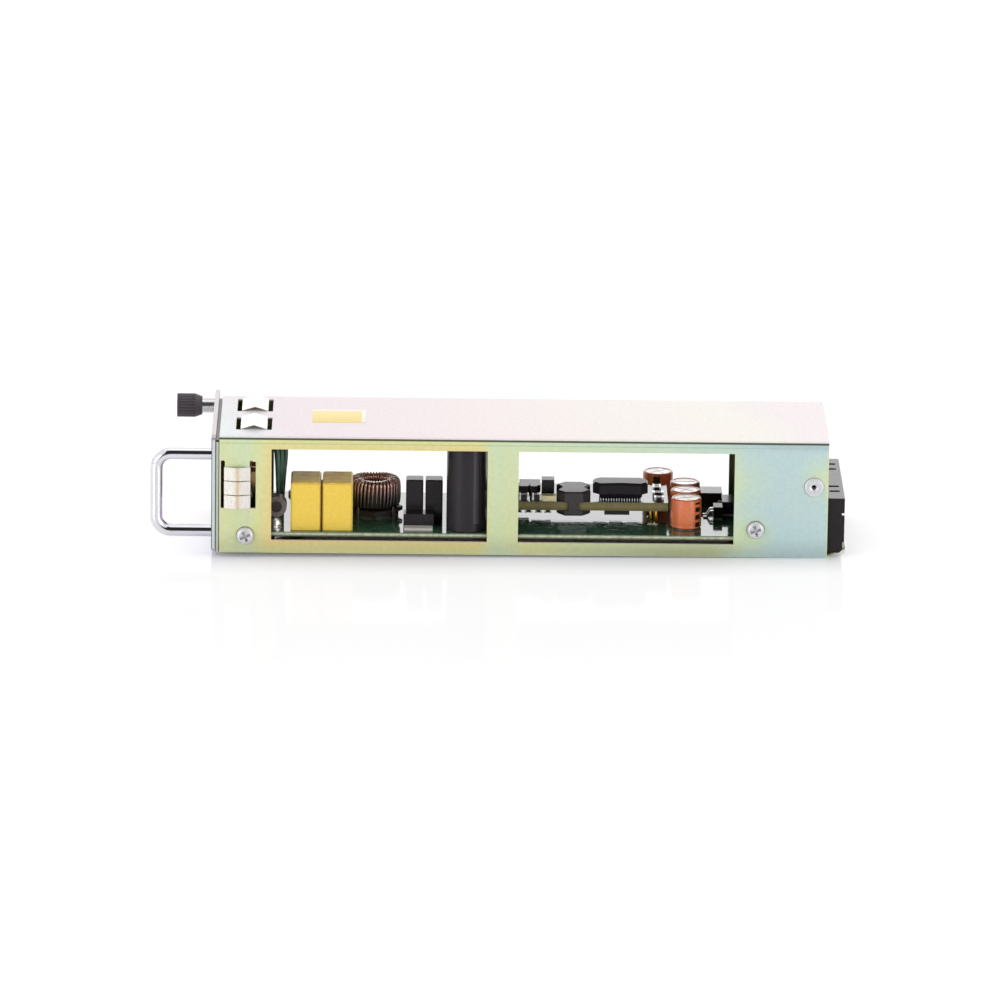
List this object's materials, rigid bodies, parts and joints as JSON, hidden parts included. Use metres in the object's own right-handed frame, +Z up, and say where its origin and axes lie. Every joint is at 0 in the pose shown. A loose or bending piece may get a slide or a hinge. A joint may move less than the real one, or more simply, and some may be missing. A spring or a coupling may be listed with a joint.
{
  "type": "hot swap server power supply",
  "caption": "Slim slide-in power module: folded steel case with open side windows, front plate with bow handle and captive screw, spring contact fingers and a rear blade connector.",
  "frame": {"origin": "on the front plate's seating face, at the middle of the case's width and at its underside, where the case enters its bay", "axes": "+X from the front plate to the rear connector, +Y to the side with the captive screw, +Z up"},
  "size_m": [0.2326, 0.065, 0.043],
  "materials": {
    "blade_copper": "plated copper alloy",
    "board_green": "solder mask over glass laminate",
    "board_olive": "bare glass laminate edge, pale mask",
    "bright_steel": "nickel plated, satin",
    "can_aluminium": "bright, scored top",
    "can_sleeve_black": "shrunk sleeve",
    "ceramic_cream": "sintered",
    "ferrite_grey": "sintered ferrite",
    "film_yellow": "moulded box with resin fill",
    "finger_metal": "tin plated spring alloy, bright",
    "handle_chrome": "polished",
    "header_black": "moulded",
    "inlet_black": "moulded",
    "knob_black": "black anodised, knurled",
    "label_yellow": "plain yellow sticker",
    "lead_green": "extruded insulation",
    "led_lens": "tinted lens",
    "part_black": "moulded epoxy",
    "part_grey": "moulded",
    "pin_gold": "gold flashed",
    "plate_metal": "zinc plated, satin",
    "sleeve_copper": "shrunk sleeve",
    "spring_steel": "drawn wire",
    "tinned_leads": "tinned",
    "winding_copper": "enamelled copper wire",
    "zinc_sheet": "yellow zinc chromate passivation, satin, iridescent"
  },
  "bodies": {
    "module": {"blank_label": "label_yellow", "board_screws": "bright_steel", "board_standoffs": "bright_steel", "bottom_fingers_far": "finger_metal", "bottom_fingers_near": "finger_metal", "box_capacitor_1": "part_black", "box_capacitor_2": "part_black", "bulk_capacitor": "can_sleeve_black", "choke_base": "header_black", "choke_core": "ferrite_grey", "choke_winding": "winding_copper", "converter_board": "board_olive", "converter_ceramic": "ceramic_cream", "converter_chips": "part_black", "converter_driver": "part_black", "converter_inductor": "part_black", "converter_pins": "pin_gold", "cover": "zinc_sheet", "cover_screws": "bright_steel", "current_sensor": "part_black", "ferrite_bead": "ferrite_grey", "film_capacitor_1": "film_yellow", "film_capacitor_2": "film_yellow", "front_plate": "plate_metal", "handle": "handle_chrome", "handle_screws": "bright_steel", "inlet_blades": "blade_copper", "input_inlet": "inlet_black", "input_leads": "lead_green", "main_board": "board_green", "output_can_1": "can_aluminium", "output_can_2": "can_aluminium", "output_can_3": "can_aluminium", "output_can_4": "can_aluminium", "output_fuse": "part_grey", "output_sleeves": "sleeve_copper", "power_blades": "blade_copper", "power_transistor": "part_black", "rear_connector": "inlet_black", "rear_rivets": "bright_steel", "regulator_legs": "tinned_leads", "regulators": "part_black", "screw_sleeve": "bright_steel", "screw_spring": "spring_steel", "side_fingers_far": "finger_metal", "side_fingers_near": "finger_metal", "signal_pins": "pin_gold", "status_led": "led_lens", "terminal_post": "bright_steel", "top_fingers_far": "finger_metal", "top_fingers_near": "finger_metal", "transformer_core_lower": "ferrite_grey", "transformer_core_upper": "ferrite_grey", "transistor_tab": "tinned_leads", "tray": "zinc_sheet"},
    "slider": {"thrust_washer": "bright_steel"},
    "screw": {"thumb_knob": "knob_black", "thumb_screw": "bright_steel"}
  },
  "joints": [
    {"name": "screw_press", "type": "slide", "parent": "module", "child": "slider", "axis": [1, 0, 0], "range_m": [0, 0.0043], "stiffness_N_per_m": 600, "springref_m": -0.003, "deforming": ["screw_spring"]},
    {"name": "screw_turn", "type": "hinge", "parent": "slider", "child": "screw", "pos_m": [0, 0.03175, 0.0352], "axis": [1, 0, 0], "continuous": true}
  ]
}
